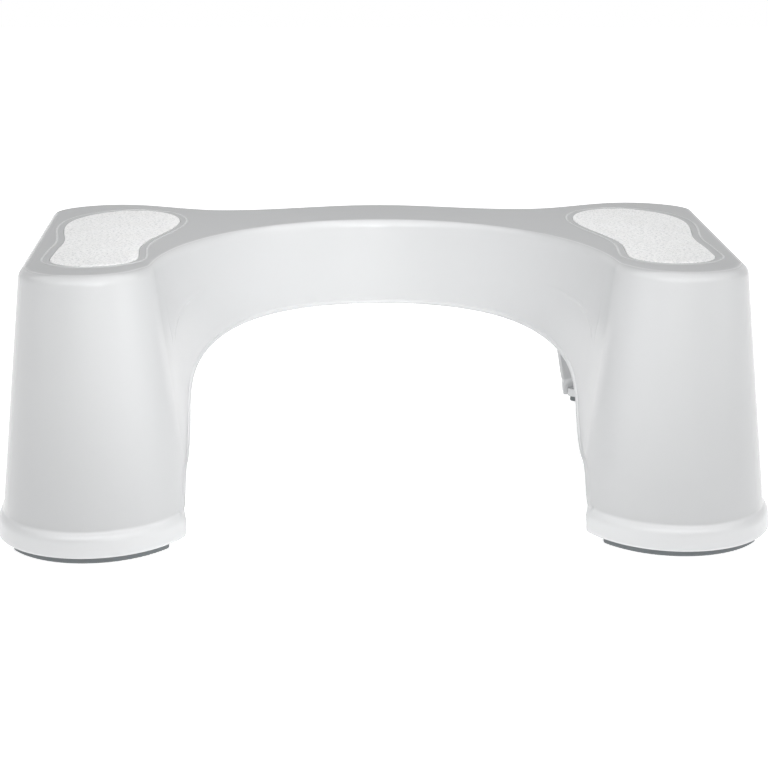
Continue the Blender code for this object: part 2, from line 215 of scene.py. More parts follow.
# %% Sizes of the arches, the hem and the lip
NEAR_ARCH_HALF_WIDTH = 0.1328
FAR_ARCH_HALF_WIDTH = 0.157
FAR_ARCH_SPLAY = 0.014
ARCH_HEIGHT = 0.1155
ARCH_SPRING = 0.065
ARCH_SQUARENESS = 4.8
HEM_FOOT = 0.0046
HEM_TOP = 0.0205
HEM_BULGE = 0.003
HEM_ROLL = 0.008  # radius of the roll at the hem's top
NEAR_ARCH_BOW = 0.0006  # how far a side of the near arch bows toward the middle
NEAR_ARCH_BOW_TOP = 0.075
LIP_WIDTH = 0.0032
LIP_RISE = 0.0012
LIP_DROP = 0.0014
CORNER_SMOOTHING = 0.0012  # spread of the moving average that rounds the line's corners
print(f"near arch {2 * NEAR_ARCH_HALF_WIDTH * 1000:.0f} mm wide and {ARCH_HEIGHT * 1000:.0f} mm high")


# %% Half of an arch, seen from the front
def arch_side(half_width, splay):
    """x and z of an arch from its top to its foot.

    A superellipse |x/a|^n + |z/b|^n = 1 above the spring line, read by direction so that its
    points are even, and a straight splayed side below it.
    """
    turn = np.linspace(np.pi / 2, 0, 600)
    reach = (np.cos(turn) ** ARCH_SQUARENESS + np.sin(turn) ** ARCH_SQUARENESS) ** (-1 / ARCH_SQUARENESS)
    top_x = half_width * reach * np.cos(turn)
    top_z = ARCH_SPRING + (ARCH_HEIGHT - ARCH_SPRING) * reach * np.sin(turn)
    side_z = np.linspace(ARCH_SPRING, HEM_FOOT, 300)[1:]
    side_x = half_width + splay * (1 - side_z / ARCH_SPRING)
    return np.r_[top_x, side_x], np.r_[top_z, side_z]


# %% Where the arches meet the wall
def crossing(x, z, low, high):
    """Distance s at which the wall, raised by half of the lip, stands at x at height z.

    The interval is halved 40 times, for all the points at once, and each point keeps the half
    that still holds the change of side.
    """
    low = np.full_like(x, low)
    high = np.full_like(x, high)
    proud = np.full_like(x, LIP_RISE / 2)
    rising = wall(high, z, proud)[..., 0] > wall(low, z, proud)[..., 0]
    for _ in range(40):
        middle = (low + high) / 2
        beyond = (wall(middle, z, proud)[..., 0] > x) == rising
        high = np.where(beyond, middle, high)
        low = np.where(beyond, low, middle)
    return (low + high) / 2


off_heel_line = np.abs(EDGE[:, 1] - HEEL_Y)
on_bay = (EDGE[:, 0] <= HEEL_X) & (EDGE[:, 1] <= 0)
bay_end = EDGE_PLACE[np.argmin(np.where(on_bay, off_heel_line, 1))]
heel_bottom = bay_end + HEEL_RADIUS * np.pi / 2
toe_top = EDGE_PLACE[np.argmax(EDGE[:, 1])]
near_x, near_z = arch_side(NEAR_ARCH_HALF_WIDTH, 0)
near_x -= NEAR_ARCH_BOW * np.sin(np.pi * np.clip(near_z / NEAR_ARCH_BOW_TOP, 0, 1))
far_x, far_z = arch_side(FAR_ARCH_HALF_WIDTH, FAR_ARCH_SPLAY)
near_s = crossing(near_x, near_z, 0, heel_bottom)
far_s = crossing(far_x, far_z, toe_top - TOE_RADIUS, EDGE_LENGTH)
print(f"hem from s = {near_s[-1] * 1000:.0f} to {far_s[-1] * 1000:.0f} mm")


# %% One line round the lower edge
def lower_edge():
    """The lower edge in s and z, evenly spaced, with corners rounded by a bell-shaped average.

    At both ends the line is continued by its mirror image, so that the average leaves it level
    there.
    """
    near = np.column_stack((near_s, near_z))
    far = np.column_stack((far_s, far_z))[::-1]
    line, length = evenly(np.vstack((near, far)), LINE_POINTS)
    count = int(4 * CORNER_SMOOTHING / (length / LINE_POINTS))
    before = line[count:0:-1] * (-1, 1)
    after = line[-2:-count - 2:-1] * (-1, 1) + (2 * EDGE_LENGTH, 0)
    away = np.arange(-count, count + 1) * length / LINE_POINTS
    bell = np.exp(-((away / CORNER_SMOOTHING) ** 2) / 2)
    bell /= bell.sum()
    whole = np.vstack((before, line, after))
    smooth = np.column_stack([np.convolve(column, bell, mode="valid") for column in whole.T])
    return smooth, length


LOWER, LOWER_LENGTH = lower_edge()
print(f"half of the lower edge: {LOWER_LENGTH * 1000:.0f} mm")

# %% [markdown]
# ## The wall's columns and rows
# The real wall is about 3 mm thick, with a rounded lip 1.2 mm proud along the arches, and a hem
# 3 mm proud round the feet, whose lower corner is well rounded.
# It could be a smooth cage with a Subdivision modifier, but the crease is only 2 mm wide and would
# need a very fine cage all over.
# Here one section is carried along the lower edge: down the inside, round the edge, over the lip
# or the hem, and up the outside to the fillet of the deck.
# Each column is a straight line in s and z from the lower edge to the deck's edge, so no two
# columns cross, and the whole skin is one grid without a seam.  The columns crowd at the ends of
# the hem and at the crease, where the surface bends most.

# %% Columns
COLUMNS = 410  # on each half
WALL_THICKNESS = 0.003
UNDERSIDE = 0.1765  # the deck's lower face
HEM_END_SPREAD = 0.006  # of the closer columns, as a share of the line
CREASE_SPREAD = 0.035
CREASE_TIP = 0.2475  # where along the edge a crease has its tip, as the bay runs into the heel end
LEAST_SLANT = 0.2  # keeps the rows of the most slanted columns apart


def columns():
    """Foot and head of each column in s and z, and the lower edge's inward direction at its foot.

    The columns stand closer at the two ends of the hem and at the crease: their places are read
    backwards from the running sum of a density that is 1 plus a bell at each of these.
    """
    place = np.linspace(0, 1, len(LOWER))
    near_corner = place[np.argmin(np.linalg.norm(LOWER - (near_s[-1], HEM_FOOT), axis=1))]
    far_corner = place[np.argmin(np.linalg.norm(LOWER - (far_s[-1], HEM_FOOT), axis=1))]
    before_tip = (CREASE_TIP - 0.020) / EDGE_LENGTH
    crowds = [(near_corner, 5, HEM_END_SPREAD), (far_corner, 5, HEM_END_SPREAD)]
    crowds.append((before_tip, 1.5, CREASE_SPREAD))
    density = np.ones(len(place))
    for middle, extra, spread in crowds:
        density += extra * np.exp(-(((place - middle) / spread) ** 2))
    running = np.r_[0, np.cumsum((density[1:] + density[:-1]) / 2)]
    chosen = np.interp(np.linspace(0, running[-1], COLUMNS + 1), running, place)
    foot = np.column_stack([np.interp(chosen, place, column) for column in LOWER.T])
    slope = np.gradient(LOWER, axis=0)
    ahead = np.column_stack([np.interp(chosen, place, column) for column in slope.T])
    ahead /= np.linalg.norm(ahead, axis=1)[:, None]
    inward = np.column_stack((-ahead[:, 1], ahead[:, 0]))
    head = np.column_stack((EDGE_LENGTH * chosen, np.full(len(chosen), LEAN_TOP)))
    return foot, head, inward


FOOT, HEAD, INWARD = columns()
upward = HEAD - FOOT
COLUMN_LENGTH = np.linalg.norm(upward, axis=1)
upward /= COLUMN_LENGTH[:, None]
SLANT = np.clip((upward * INWARD).sum(axis=1), LEAST_SLANT, 1)
most = math.degrees(math.acos(SLANT.min()))
print(f"{2 * COLUMNS} columns, the most slanted at {most:.0f} degrees to the lower edge's inward direction")


# %% Heights of the hem and the lip
HEM_SHOULDER = math.sqrt(HEM_ROLL**2 - (HEM_ROLL - HEM_BULGE) ** 2)


def hem_outside(z):
    """The hem stands out by HEM_BULGE and ends above in an arc of a roll that the wall cuts."""
    rise = np.clip(z - HEM_TOP + HEM_SHOULDER, 0, HEM_SHOULDER)
    return np.sqrt(HEM_ROLL**2 - rise**2) - (HEM_ROLL - HEM_BULGE)


def hem_inside(z):
    """Inside, a slope takes up the hem's bulge."""
    return HEM_BULGE * np.clip((HEM_TOP - z) / HEM_SHOULDER, 0, 1)


def lip(distance):
    """The lip stands LIP_RISE proud and drops to the wall in the last LIP_DROP of its width."""
    return LIP_RISE * ease((LIP_WIDTH - distance) / LIP_DROP)


print(f"the hem's roll begins {HEM_SHOULDER * 1000:.1f} mm below its top")

# %% [markdown]
# ### The crease beside each heel end
# In the real moulding two blends meet where the bay runs into the heel end, and leave a shallow V:
# one branch climbs into the bay and flattens, the other turns up along the heel end.
# It could be carved with a Boolean, but its step is only a millimetre and has no sharp edge.
# So each branch is a height over the wall: a narrow ridge on a ledge that falls back to the wall.

# %% The crease
CREASE_STEP = 0.0010
CREASE_HEIGHT = 0.1225  # of the tip
CREASE_RISE = 0.0235  # how much higher the bay branch ends
CREASE_BEND = 0.022  # distance over which it levels off
BAY_BRANCH_START = 0.150  # where along the edge it begins to show
BAY_BRANCH_FADE = 0.050
HEEL_BRANCH_GAP = 0.0015  # from the tip to the heel branch
HEEL_BRANCH_BEND = 0.030
HEEL_BRANCH_TOP = 0.152  # where the heel branch has faded out
HEEL_BRANCH_FADE = 0.022
BAY_BRANCH = {"rise": 0.0020, "fall": 0.014, "ledge": 0.25, "ridge": 0.40, "at": 0.0010, "width": 0.0013}
HEEL_BRANCH = {"rise": 0.0022, "fall": 0.010, "ledge": 0.10, "ridge": 0.25, "at": 0.0014, "width": 0.0014}


def bay_branch(s):
    """Height of the crease's branch in the bay: tip + rise (1 - e^(-distance / bend))."""
    before = np.clip(CREASE_TIP - s, 0, None)
    return CREASE_HEIGHT + CREASE_RISE * (1 - np.exp(-before / CREASE_BEND))


def profile(across, rise, fall, ledge, ridge, at, width):
    """Across a branch: ledge times ease(x / rise) e^(-x / fall), plus ridge times a bell at 'at'."""
    ledge_height = ease(across / rise) * np.exp(-np.clip(across, 0, None) / fall)
    return ledge * ledge_height + ridge * np.exp(-(((across - at) / width) ** 2))


def crease(s, z):
    """Both branches as a height over the wall, each fading out away from the tip.

    The bay branch is measured downwards from its line.  The heel branch is measured along the
    edge from its own line, tip + gap + 0.35 (height above the tip)^2 / bend.
    """
    below = bay_branch(s) - z
    fade = ease((s - BAY_BRANCH_START) / BAY_BRANCH_FADE) * ease((CREASE_TIP + 0.001 - s) / 0.006)
    step = profile(below, **BAY_BRANCH) * fade
    above_tip = z - CREASE_HEIGHT
    bend = 0.35 * np.clip(above_tip, 0, None) ** 2 / HEEL_BRANCH_BEND
    beside = s - CREASE_TIP - HEEL_BRANCH_GAP - bend
    fade = ease((above_tip + 0.004) / 0.008) * ease((HEEL_BRANCH_TOP - z) / HEEL_BRANCH_FADE)
    step += profile(beside, **HEEL_BRANCH) * fade
    return CREASE_STEP * step


start_height = bay_branch(BAY_BRANCH_START)
print(f"crease: from {CREASE_HEIGHT * 1000:.1f} mm at its tip up to {start_height * 1000:.1f} mm in the bay")


# %% Rows inside and round the lower edge
FOOT_ROUNDING = 0.0024  # of the edge at the hem's foot
LIP_ROUNDING = 0.0009  # of the edge along the lip
INNER_ROLL = 0.003  # radius between the wall's inside and the deck's lower face
INNER_START = 0.0035  # distance from the edge at which the inside rows start to share the height
EDGE_ZONE = 0.0036  # the outside rows up to here keep their distance from the edge
INNER_SHARES = (1, 0.8, 0.6, 0.42, 0.28, 0.17, 0.1, 0.075, 0.05, 0.02)
INNER_RIM = ((0.0012, 0), (0.0004, 0), (0.0001, 0.0001), (0, 0.0004))  # distance, depth
EDGE_SHARES = (0.25, 0.5, 0.65, 0.75, 0.85, 0.93, 1)
# the rounding changes from 4 mm below the hem's top to 5 mm above it
on_arch = ease((FOOT[:, 1] - HEM_TOP + 0.004) / 0.009)
EDGE_ROUNDING = FOOT_ROUNDING + (LIP_ROUNDING - FOOT_ROUNDING) * on_arch


def on_columns(distance, share):
    """s and z of a row: a distance square to the lower edge, then a share of the rest."""
    run = distance / SLANT
    run = run + share * (COLUMN_LENGTH - run)
    point = FOOT + upward * run[:, None]
    return point[:, 0], point[:, 1]


def inner_rows():
    """From the deck's lower face down the inside: a quarter circle, the wall, and the edge's rim."""
    rows = []
    top = UNDERSIDE - INNER_ROLL
    for turn in np.linspace(np.pi / 2, 0, 4)[:-1]:
        depth = WALL_THICKNESS + INNER_ROLL * (1 - math.cos(turn))
        rows.append(wall(HEAD[:, 0], np.full(len(HEAD), top + INNER_ROLL * math.sin(turn)), -depth))
    for share in INNER_SHARES:
        s, z = on_columns(INNER_START, share)
        rows.append(wall(s, np.minimum(z, top), hem_inside(z) - WALL_THICKNESS))
    for distance, depth in INNER_RIM:
        s, z = on_columns(distance, 0)
        rows.append(wall(s, z, hem_inside(z) - WALL_THICKNESS + depth))
    return rows


def edge_rows():
    """Round the lower edge by a quarter circle, then over the lip or the hem, whichever is higher."""
    rows = []
    for turn in np.linspace(0, np.pi / 2, 7):
        distance = EDGE_ROUNDING * (1 - math.cos(turn))
        s, z = on_columns(distance, 0)
        proud = np.maximum(hem_outside(z), lip(distance)) - EDGE_ROUNDING * (1 - math.sin(turn))
        rows.append(wall(s, z, proud))
    for share in EDGE_SHARES:
        distance = EDGE_ROUNDING + (EDGE_ZONE - EDGE_ROUNDING) * share
        s, z = on_columns(distance, 0)
        rows.append(wall(s, z, np.maximum(hem_outside(z), lip(distance)) + crease(s, z)))
    return rows


sizes = EDGE_ROUNDING * 1000
print(f"the lower edge is rounded by {sizes.min():.1f} to {sizes.max():.1f} mm")

# %% [markdown]
# ### Rows up the outside
# The crease is narrower than evenly spread rows, which would draw it as a row of teeth.
# The rows could all be made finer, but the piece has a limit of 200,000 triangles.
# So in each column about half of the rows stand close round the crease's height there, and above
# it the rows bend back to the level fillet.

# %% Rows up the outside
OUTER_START = 0.0038
LOW_PART = 0.64  # the part of the levels' range that is spread below the crease
CREASE_PART = 0.22  # the part that stands round it
CREASE_REACH = 0.11  # how far below and above the crease that goes, as a share of the column
# levels in mm, close at the hem's top and from 114 to 150, the part that stands round the crease
HEM_LEVELS = (
    8.4, 9.4, 10.5, 11.7, 13, 14.3, 15.6, 16.8, 17.8, 18.6, 19.2, 19.7, 20.1, 20.4, 20.6, 21.2, 22.2)
WALL_LEVELS = (
    24, 28, 34, 42, 52, 64, 76, 88, 99, 108, *np.arange(114, 150, 1.15), 152, 157, 162, 167, 170.5, 173)
LEVELS = np.array(HEM_LEVELS + WALL_LEVELS) / 1000


def share_at_crease():
    """Share of each column's height at which the bay branch crosses it, smoothed over 15 columns."""
    tried = np.linspace(0.15, 0.85, 141)
    gaps = [np.abs(z - bay_branch(s)) for s, z in (on_columns(OUTER_START, share) for share in tried)]
    nearest = tried[np.argmin(gaps, axis=0)]
    return np.convolve(np.pad(nearest, 7, mode="edge"), np.full(15, 1 / 15), mode="valid")


def outer_rows():
    """Up the outside: a row's share of each column is a broken line of its level.

    The line has three straight parts: below, round and above the crease.
    """
    rows = []
    at_crease = share_at_crease()
    for share in (LEVELS - LEVELS[0]) / (LEVELS[-1] - LEVELS[0]):
        low = np.clip(share / LOW_PART, 0, 1)
        dense = np.clip((share - LOW_PART) / CREASE_PART, 0, 1)
        high = np.clip((share - LOW_PART - CREASE_PART) / (1 - LOW_PART - CREASE_PART), 0, 1)
        up = (at_crease - CREASE_REACH) * low + 2 * CREASE_REACH * dense
        s, z = on_columns(OUTER_START, up + (1 - CREASE_REACH - at_crease) * high)
        rows.append(wall(s, z, hem_outside(z) + crease(s, z)))
    return rows


# %% The deck's fillet, and the whole section
DECK_RING = 0.0003  # a level ring inside the fillet, so that its shading ends there


def fillet_rows():
    """A quarter ellipse from the wall's head to the deck, as wide as deck_fillet says."""
    rows = []
    reach = deck_fillet(HEAD[:, 0])
    for turn in np.linspace(0, np.pi / 2, 9)[1:]:
        z = np.full(len(HEAD), LEAN_TOP + (HEIGHT - LEAN_TOP) * math.sin(turn))
        rows.append(wall(HEAD[:, 0], z, -reach * (1 - math.cos(turn))))
    rows.append(wall(HEAD[:, 0], np.full(len(HEAD), HEIGHT), -reach - DECK_RING))
    return rows


right_skin = np.array(inner_rows() + edge_rows() + outer_rows() + fillet_rows())
print("section rows x columns:", right_skin.shape[:2])


# %% [markdown]
# ## From grids to meshes
# A grid of points needs faces, and a flat region with holes, such as the deck, needs triangles.
# Blender could fill them with a modifier or by hand, but for faces that follow a rule whole index
# arrays are quicker and always point the same way.
# Every surface below is a list of patches, a patch being points and faces, and patches that share
# an edge are welded where their points coincide.

# %% Faces of a grid, and a flat region
def mirrored(half):
    """A whole loop from its right half, along the second axis: the left half runs back."""
    return np.concatenate((half, (half * (-1, 1, 1))[:, -2:0:-1]), axis=1)


def ring_patch(rows):
    """Quads between the rows of a grid whose columns close into a ring."""
    count_rows, count = rows.shape[:2]
    index = np.arange(count_rows * count).reshape(count_rows, count)
    after = np.roll(index, -1, axis=1)
    quads = np.stack((index[:-1], after[:-1], after[1:], index[1:]), axis=-1).reshape(-1, 4)
    return rows.reshape(-1, 3), quads.tolist()


def flat_patch(loops, up):
    """Triangles of a level region inside the first loop and outside the others."""
    points = np.vstack(loops)
    triangles = np.array(tessellate_polygon([[Vector(p) for p in loop] for loop in loops]))
    a, b, c = (points[triangles[:, k], :2] for k in range(3))
    area = (b[:, 0] - a[:, 0]) * (c[:, 1] - a[:, 1]) - (b[:, 1] - a[:, 1]) * (c[:, 0] - a[:, 0])
    wrong = (area < 0) if up else (area > 0)
    triangles[wrong] = triangles[wrong][:, ::-1]
    return points, triangles.tolist()


# %% A piece from its patches
WELD_DISTANCE = 1e-6
SHARP_ANGLE = math.radians(45)


def volume_of(mesh):
    """Enclosed volume: a sixth of the sum of the triangles' triple products."""
    mesh.calc_loop_triangles()
    points = np.empty(len(mesh.vertices) * 3)
    mesh.vertices.foreach_get("co", points)
    index = np.empty(len(mesh.loop_triangles) * 3, int)
    mesh.loop_triangles.foreach_get("vertices", index)
    a, b, c = points.reshape(-1, 3)[index.reshape(-1, 3)].transpose(1, 0, 2)
    return (a * np.cross(b, c)).sum() / 6


def make_piece(name, patches, stands_for):
    """Join patches into one smooth mesh at the origin, weld them, and hang it on the frame."""
    points, faces, start = [], [], 0
    for patch_points, patch_faces in patches:
        points.append(patch_points)
        faces += [[k + start for k in face] for face in patch_faces]
        start += len(patch_points)
    mesh = bpy.data.meshes.new(name)
    mesh.from_pydata(np.vstack(points).tolist(), [], faces)
    piece = bpy.data.objects.new(name, mesh)
    bpy.context.scene.collection.objects.link(piece)
    weld = piece.modifiers.new("weld", "WELD")
    weld.merge_threshold = WELD_DISTANCE
    bpy.context.view_layer.update()
    evaluated = piece.evaluated_get(bpy.context.evaluated_depsgraph_get())
    piece.data = bpy.data.meshes.new_from_object(evaluated)
    piece.modifiers.clear()
    bpy.data.meshes.remove(mesh)
    piece.data.name = name
    piece.data.shade_smooth()
    piece.data.set_sharp_from_angle(angle=SHARP_ANGLE)
    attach(piece, "root")
    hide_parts(stands_for)
    print(f"{name}: {len(piece.data.vertices)} points, {volume_of(piece.data) * 1e6:.1f} cm3")
    return piece


# %% [markdown]
# ## The foot pads' outline
# Each real pad is a sole-shaped sheet let into the deck, and a fine bead runs round it at 5 mm.
# The outline could be traced, but a sole is easily described: a round heel, a waist, a wider ball
# and an elliptical toe, which gives the half width at each place along the foot.
# The same outline, moved outwards by an amount, gives the recess and the bead.

# %% The sole's outline
PAD_PLACE = 0.194
PAD_HEEL_Y = HEEL_Y + 0.0231
PAD_HEEL_LENGTH = 0.0303
PAD_HEEL_HALF_WIDTH = 0.0285
PAD_HEEL_SHIFT = 0.0040  # towards the middle of the stool
PAD_WAIST = 0.0275  # half width there
PAD_WAIST_PLACE = 0.049
PAD_BALL = 0.042  # half width there
PAD_BALL_PLACE = 0.1607
PAD_TOE_LENGTH = 0.071
print(f"pad {(PAD_HEEL_LENGTH + PAD_BALL_PLACE + PAD_TOE_LENGTH) * 1000:.0f} mm long")


def sole(offset, count=150):
    """Loop round the sole's heel centre, moved outwards by an offset.

    Half width: an ellipse at the heel, then half cosine waves down to the waist and up to the
    ball, then an ellipse to the tip.
    """
    turn = np.linspace(0, np.pi / 2, 400)
    back = -PAD_HEEL_LENGTH * np.cos(turn)
    middle = np.linspace(0, PAD_BALL_PLACE, 600)[1:-1]
    front = PAD_BALL_PLACE + PAD_TOE_LENGTH * np.sin(turn)
    to_waist = (1 - np.cos(np.pi * np.clip(middle / PAD_WAIST_PLACE, 0, 1))) / 2
    waist = PAD_HEEL_HALF_WIDTH + (PAD_WAIST - PAD_HEEL_HALF_WIDTH) * to_waist
    ball = np.clip((middle - PAD_WAIST_PLACE) / (PAD_BALL_PLACE - PAD_WAIST_PLACE), 0, 1)
    middle_width = waist + (PAD_BALL - PAD_WAIST) * (1 - np.cos(np.pi * ball)) / 2
    width = np.r_[PAD_HEEL_HALF_WIDTH * np.sin(turn), middle_width, PAD_BALL * np.cos(turn)]
    right, _ = evenly(np.column_stack((width, np.r_[back, middle, front])), count + 1)
    right[[0, -1], 0] = 0
    loop = np.vstack((right, (right * (-1, 1))[-2:0:-1]))
    ahead = np.roll(loop, -1, axis=0) - np.roll(loop, 1, axis=0)
    ahead /= np.linalg.norm(ahead, axis=1)[:, None]
    return loop + offset * np.column_stack((ahead[:, 1], -ahead[:, 0]))


def sole_middle(y):
    """x of the sole's middle line: PAD_PLACE less the heel's shift, which ends in an ease.

    The ease begins 10 mm behind the heel's centre and takes 60 mm.
    """
    return PAD_PLACE - PAD_HEEL_SHIFT * (1 - ease((y + 0.010) / 0.060))


def level(loop, side, z):
    """A sole's loop placed on its side of the deck at a height."""
    x, y = loop.T
    return np.column_stack((x + side * sole_middle(y), y + PAD_HEEL_Y, np.full(len(loop), z)))


# %% [markdown]
# ## The collar round a pad
# In the real moulding the recess has a softly rounded rim, and the bead grows out of the deck
# without a gap.
# A tube laid on the deck would show a crack on each side, so the rim and the bead are one section
# carried round the pad: across the deck, over the bead, and down into the recess.

# %% A collar
BEAD_GAP = 0.0053  # from the pad's outline to the bead's middle
BEAD_HALF_WIDTH = 0.0013
BEAD_RISE = 0.0007
RECESS = 0.0012
RECESS_RIM = 0.0003
FIT = 0.0003  # room between a pad and its recess
COLLAR_RING = 0.0002  # of level deck outside the bead
RECESS_RING = 0.004  # of the recess's floor


def collar(side):
    """Rows (offset, z): level deck, cos^2 bead, level deck, a round rim, the recess's wall and floor."""
    rows = [(BEAD_GAP + BEAD_HALF_WIDTH + COLLAR_RING, HEIGHT)]
    for share in np.linspace(1, -1, 13):
        rise = BEAD_RISE * math.cos(np.pi / 2 * share) ** 2
        rows.append((BEAD_GAP + BEAD_HALF_WIDTH * share, HEIGHT + rise))
    rows.append((BEAD_GAP - BEAD_HALF_WIDTH - DECK_RING, HEIGHT))
    rows.append((FIT + 2 * RECESS_RIM, HEIGHT))
    for turn in np.linspace(np.pi / 2, 0, 4):
        down = RECESS_RIM * (1 - math.sin(turn))
        rows.append((FIT + RECESS_RIM * (1 - math.cos(turn)), HEIGHT - down))
    rows.append((FIT, HEIGHT - RECESS))
    rows.append((FIT - RECESS_RING, HEIGHT - RECESS))
    return np.array([level(sole(offset), side, z) for offset, z in rows])


# %% The shell's skin
skin = mirrored(right_skin)
collars = [collar(side) for side in (-1, 1)]
gaps = [np.linalg.norm(skin[-1][:, None, :2] - each[0][None, :, :2], axis=2).min() for each in collars]
print(f"least level deck between a bead and the fillet: {min(gaps) * 1000:.2f} mm")
shell_patches = [ring_patch(skin), flat_patch([skin[0]], False)]
shell_patches.append(flat_patch([skin[-1]] + [c[0] for c in collars], True))
for each in collars:
    shell_patches += [ring_patch(each), flat_patch([each[-1]], True)]
shell = make_piece("moulded_shell", shell_patches, "shell")


# %% [markdown]
# ## Ribs under the deck
# A real deck this thin is stiffened by a grid of ribs, about 12 mm deep, tapered so that they
# leave the mould.
# A grid of cubes would end in the air or poke through the wall, so each rib is a tapered section
# with a round lower edge, carried between two points inside the wall that are worked out from the
# inner outline.

# %% Ribs
RIB_DEPTH = 0.012
RIB_SPACING = 0.050
RIB_TOP_HALF = 0.0011
RIB_FOOT_HALF = 0.0008
RIB_ROOT = 0.0008  # how far a rib reaches into the deck
RIB_OUTLINE_HEIGHT = 0.168  # where the wall's inside is read, so that a rib ends in the wall
rib_ends = wall(HEAD[:, 0], np.full(len(HEAD), RIB_OUTLINE_HEIGHT), -WALL_THICKNESS)
inner_loop = mirrored(rib_ends[None])[0]


def spans(axis, place):
    """Stretches of a line inside the inner outline: the crossings, sorted and taken in pairs."""
    here = inner_loop[:, axis] - place
    after = np.roll(here, -1)
    change = np.nonzero((here < 0) != (after < 0))[0]
    share = here[change] / (here[change] - after[change])
    other = inner_loop[:, 1 - axis]
    crossings = np.sort(other[change] + share * (np.roll(other, -1)[change] - other[change]))
    return crossings.reshape(-1, 2)


def rib(axis, place, start, end):
    """Section: 2.2 mm at the deck, 1.6 mm at the foot, rounded below; rows run from end to end."""
    turn = np.linspace(np.pi, 2 * np.pi, 7)
    across = np.r_[-RIB_TOP_HALF, RIB_FOOT_HALF * np.cos(turn), RIB_TOP_HALF]
    z = UNDERSIDE + np.r_[RIB_ROOT, -RIB_DEPTH + RIB_FOOT_HALF * (1 + np.sin(turn)), RIB_ROOT]
    rows = []
    for run in (start, end):
        along_line = np.full(len(z), run)
        pair = (place + across, along_line) if axis == 0 else (along_line, place + across)
        rows.append(np.column_stack((*pair, z)))
    rows = np.array(rows if axis == 0 else rows[::-1])
    points, faces = ring_patch(rows[::-1])
    count = rows.shape[1]
    return points, faces + [list(range(count))[::-1], list(range(count, 2 * count))]


rib_patches = []
across_stool = [(1, HEEL_Y + RIB_SPACING * k) for k in range(5)]
along_legs = [(0, HEEL_X * share) for share in (-1, -1 / 3, 1 / 3, 1)]
for axis, place in across_stool + along_legs:
    rib_patches += [rib(axis, place, start, end) for start, end in spans(axis, place)]
ribs = make_piece("underside_ribs", rib_patches, "shell")
print(len(rib_patches), "ribs")


# %% [markdown]
# ## Rubber strips and their sockets
# The real stool stands on four soft strips pressed into channels under the legs, and only their
# lower 5 mm show below the hem.
# Each strip follows the leg's curve, so it is a loop with round ends, set back 5 mm from the hem's
# face, and lofted upwards with a rounded tread.
# The socket that holds it is moulded with the shell, a wall 2 mm thick round the same loop.

# %% A strip's loop
STRIP_INSET = 0.009  # from the hem's face to the strip's middle
STRIP_HALF_WIDTH = 0.004
STRIP_TOP = 0.0083
TREAD_ROUNDING = 0.0012
SOCKET_FOOT = 0.0049
SOCKET_TOP = 0.0116
SOCKET_WALL = 0.002


def strip_loop(s_start, s_end, side, growth):
    """Two lines parallel to the hem, half a strip's width either way, closed by half circles."""
    s = np.linspace(s_start, s_end, 70)
    _, normal = edge_at(s)
    spine = wall(s, np.full_like(s, HEM_FOOT), np.full_like(s, HEM_BULGE - STRIP_INSET))[:, :2]
    half = STRIP_HALF_WIDTH + growth
    turn = np.linspace(0, np.pi, 11)[1:-1, None]
    ends = []
    for i, sense in ((-1, 1), (0, -1)):
        across = sense * normal[i]
        onward = np.array((-across[1], across[0]))
        ends.append(spine[i] + half * (across * np.cos(turn) + onward * np.sin(turn)))
    loop = np.vstack((spine + half * normal, ends[0], (spine - half * normal)[::-1], ends[1]))
    return loop if side > 0 else (loop * (-1, 1))[::-1]


def at_height(loop, z):
    """A flat loop as points at a height."""
    return np.column_stack((loop, np.full(len(loop), z)))


# %% Where the strips run
HEEL_STRIP_TURN = math.radians(53)  # either way from the heel end's nearest point
TOE_STRIP_TURN = math.radians(55)  # before the toe end's farthest point
TOE_STRIP_END_X = 0.186
heel_reach = HEEL_RADIUS * HEEL_STRIP_TURN
toe_start = toe_top - TOE_RADIUS * TOE_STRIP_TURN
past_toe = EDGE_PLACE > toe_top
toe_end = np.interp(-TOE_STRIP_END_X, -EDGE[past_toe, 0], EDGE_PLACE[past_toe])
RUNS = {"heel": (heel_bottom - heel_reach, heel_bottom + heel_reach), "toe": (toe_start, toe_end)}
for end, (start, stop) in RUNS.items():
    print(f"{end} strips: {(stop - start) * 1000:.0f} mm along the deck's edge")

# %% Strips and sockets
strips, sockets = [], []
for side, label in ((-1, "left"), (1, "right")):
    for end, (start, stop) in RUNS.items():
        rows = []
        for turn in np.linspace(0, np.pi / 2, 6):
            inset, z = (TREAD_ROUNDING * (1 - part) for part in (math.sin(turn), math.cos(turn)))
            rows.append(at_height(strip_loop(start, stop, side, -inset), z))
        rows.append(at_height(strip_loop(start, stop, side, 0), STRIP_TOP))
        rows = np.array(rows)
        patches = [flat_patch([rows[0]], False), ring_patch(rows), flat_patch([rows[-1]], True)]
        strips.append(make_piece(f"{label}_{end}_rubber", patches, f"{label}_{end}_strip"))
        inner = ((FIT, STRIP_TOP + FIT), (FIT, SOCKET_FOOT))
        outer = ((FIT + SOCKET_WALL, SOCKET_FOOT), (FIT + SOCKET_WALL, SOCKET_TOP))
        walls = np.array([
            at_height(strip_loop(start, stop, side, growth), z) for growth, z in inner + outer])
        sockets += [flat_patch([walls[0]], False), ring_patch(walls), flat_patch([walls[-1]], True)]
socket_piece = make_piece("strip_sockets", sockets, "shell")

# %% [markdown]
# ## The grit pads
# A real pad is a stuck-on sheet about 1.5 mm thick, covered with mineral grains that stand up by
# a tenth of a millimetre or two.
# Seen at a low angle it looks much lighter than the smooth deck, because the eye meets the sides
# of the grains that face it.  Bump alone would not do that, so the grains are real relief here:
# the top is a grid from side to side of the sole, about 0.7 mm fine, raised by seeded noise of up
# to 0.4 mm.  That is coarser than real grit, which would not show in the render.

